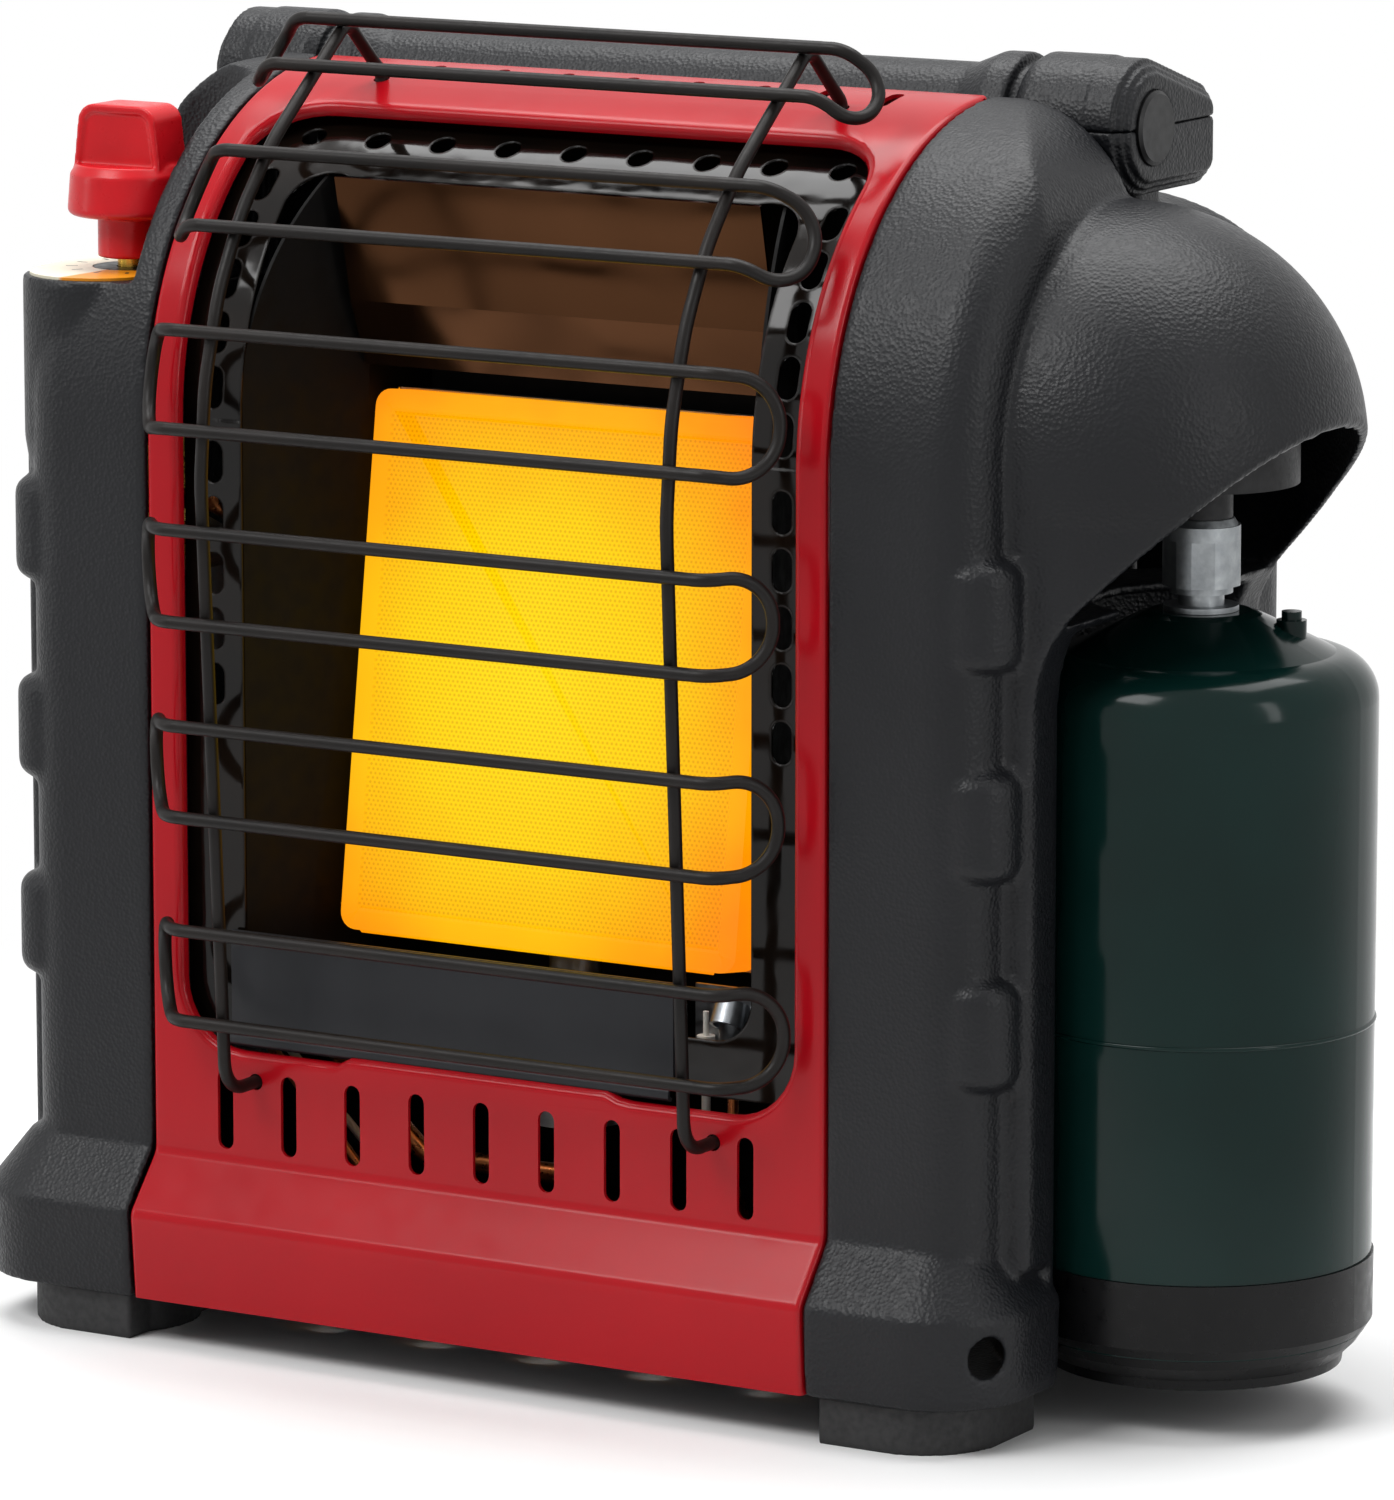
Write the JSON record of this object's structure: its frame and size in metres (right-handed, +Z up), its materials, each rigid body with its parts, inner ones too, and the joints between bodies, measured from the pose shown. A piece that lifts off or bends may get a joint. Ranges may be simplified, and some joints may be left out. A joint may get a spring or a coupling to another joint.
{
  "type": "portable propane heater",
  "caption": "Portable radiant gas heater: glowing ceramic burner behind a wire guard, red sheet metal body, dark moulded sides, fold-down carry handle, knob, screw-on gas cylinder.",
  "frame": {"origin": "middle of the base of the bounding box, on the floor that the feet stand on", "axes": "+X to the side with the gas cylinder, -Y out of the front through the wire guard, +Z up"},
  "size_m": [0.407, 0.212, 0.3813],
  "materials": {
    "casing_plastic": "charcoal, fine leather grain",
    "red_enamel": "gloss red baked enamel on sheet steel",
    "dark_sheet": "black heat-proof coat on sheet steel",
    "guard_coat": "dark satin coat on steel wire",
    "surround_enamel": "gloss black enamel, browned by heat",
    "reflector_steel": "polished steel, heat tinted",
    "tile_ceramic": "pierced ceramic, glowing",
    "gasket_fibre": "pressed ceramic fibre",
    "bare_steel": "zinc plated steel",
    "cast_metal": "fine blasted die casting",
    "brass": "turned brass",
    "copper_tube": "drawn copper tube",
    "knob_plastic": "glossy red",
    "dial_label": "cream label, orange sector",
    "black_plastic": "black",
    "foot_rubber": "matt black",
    "white_plastic": "white",
    "white_ceramic": "white glaze",
    "lead_cover": "silicone covered lead",
    "cylinder_paint": "gloss dark green enamel"
  },
  "bodies": {
    "heater": {"left_casing": "casing_plastic", "right_casing": "casing_plastic", "front_panel": "red_enamel", "back_panel": "dark_sheet", "base_pan": "dark_sheet", "foot_front_left": "foot_rubber", "foot_front_right": "foot_rubber", "foot_rear_left": "foot_rubber", "foot_rear_right": "foot_rubber", "deck_dial": "dial_label", "knob_gland": "black_plastic", "stem_spring": "bare_steel", "gas_valve": "brass", "valve_bracket": "bare_steel", "inlet_pipe": "copper_tube", "burner_pipe": "copper_tube", "burner_orifice": "brass", "venturi": "bare_steel", "burner_plenum": "bare_steel", "tile_gasket": "gasket_fibre", "burner_tile": "tile_ceramic", "combustion_box": "dark_sheet", "polished_reflector": "reflector_steel", "enamel_surround": "surround_enamel", "shield_plate": "dark_sheet", "pilot_assembly": "bare_steel", "pilot_pipe": "copper_tube", "thermocouple": "bare_steel", "spark_electrode": "white_ceramic", "piezo_igniter": "white_plastic", "igniter_lead": "lead_cover", "tip_switch": "black_plastic", "guard_loop_1": "guard_coat", "guard_loop_2": "guard_coat", "guard_loop_3": "guard_coat", "guard_loop_4": "guard_coat", "guard_loop_5": "guard_coat", "guard_loop_6": "guard_coat", "guard_upright_left": "guard_coat", "guard_upright_right": "guard_coat", "handle_pivot_pins": "bare_steel", "swivel_block": "cast_metal", "swivel_pin": "bare_steel", "casing_screws": "bare_steel", "back_screws": "bare_steel"},
    "handle": {"handle_upper_half": "casing_plastic", "handle_lower_half": "casing_plastic", "handle_end_caps": "black_plastic"},
    "igniter_push": {"igniter_plunger": "white_plastic"},
    "knob": {"control_knob": "knob_plastic", "valve_stem": "brass"},
    "regulator": {"regulator_body": "cast_metal", "regulator_cover": "cast_metal", "inlet_nut": "cast_metal", "inlet_seal": "foot_rubber"},
    "gas_cylinder": {"cylinder_shell": "cylinder_paint", "cylinder_valve": "brass", "relief_valve": "white_plastic", "cylinder_base": "black_plastic"}
  },
  "joints": [
    {"name": "handle_fold", "type": "hinge", "parent": "heater", "child": "handle", "pos_m": [-0.02955, 0.06495, 0.351], "axis": [-1, 0, 0], "range_deg": [0, 90]},
    {"name": "knob_press", "type": "slide", "parent": "heater", "child": "igniter_push", "axis": [0, 0, -1], "range_m": [0, 0.0025], "stiffness_N_per_m": 1500, "springref_m": -0.002, "deforming": ["stem_spring"]},
    {"name": "knob_turn", "type": "hinge", "parent": "igniter_push", "child": "knob", "pos_m": [-0.17055, -0.03905, 0.31], "axis": [0, 0, 1], "range_deg": [0, 180]},
    {"name": "regulator_swing", "type": "hinge", "parent": "heater", "child": "regulator", "pos_m": [0.12045, 0.00795, 0.27], "axis": [0, -1, 0], "range_deg": [0, 24]},
    {"name": "cylinder_draw", "type": "slide", "parent": "regulator", "child": "gas_cylinder", "axis": [0, 0, -1], "range_m": [0, 0.25]}
  ]
}
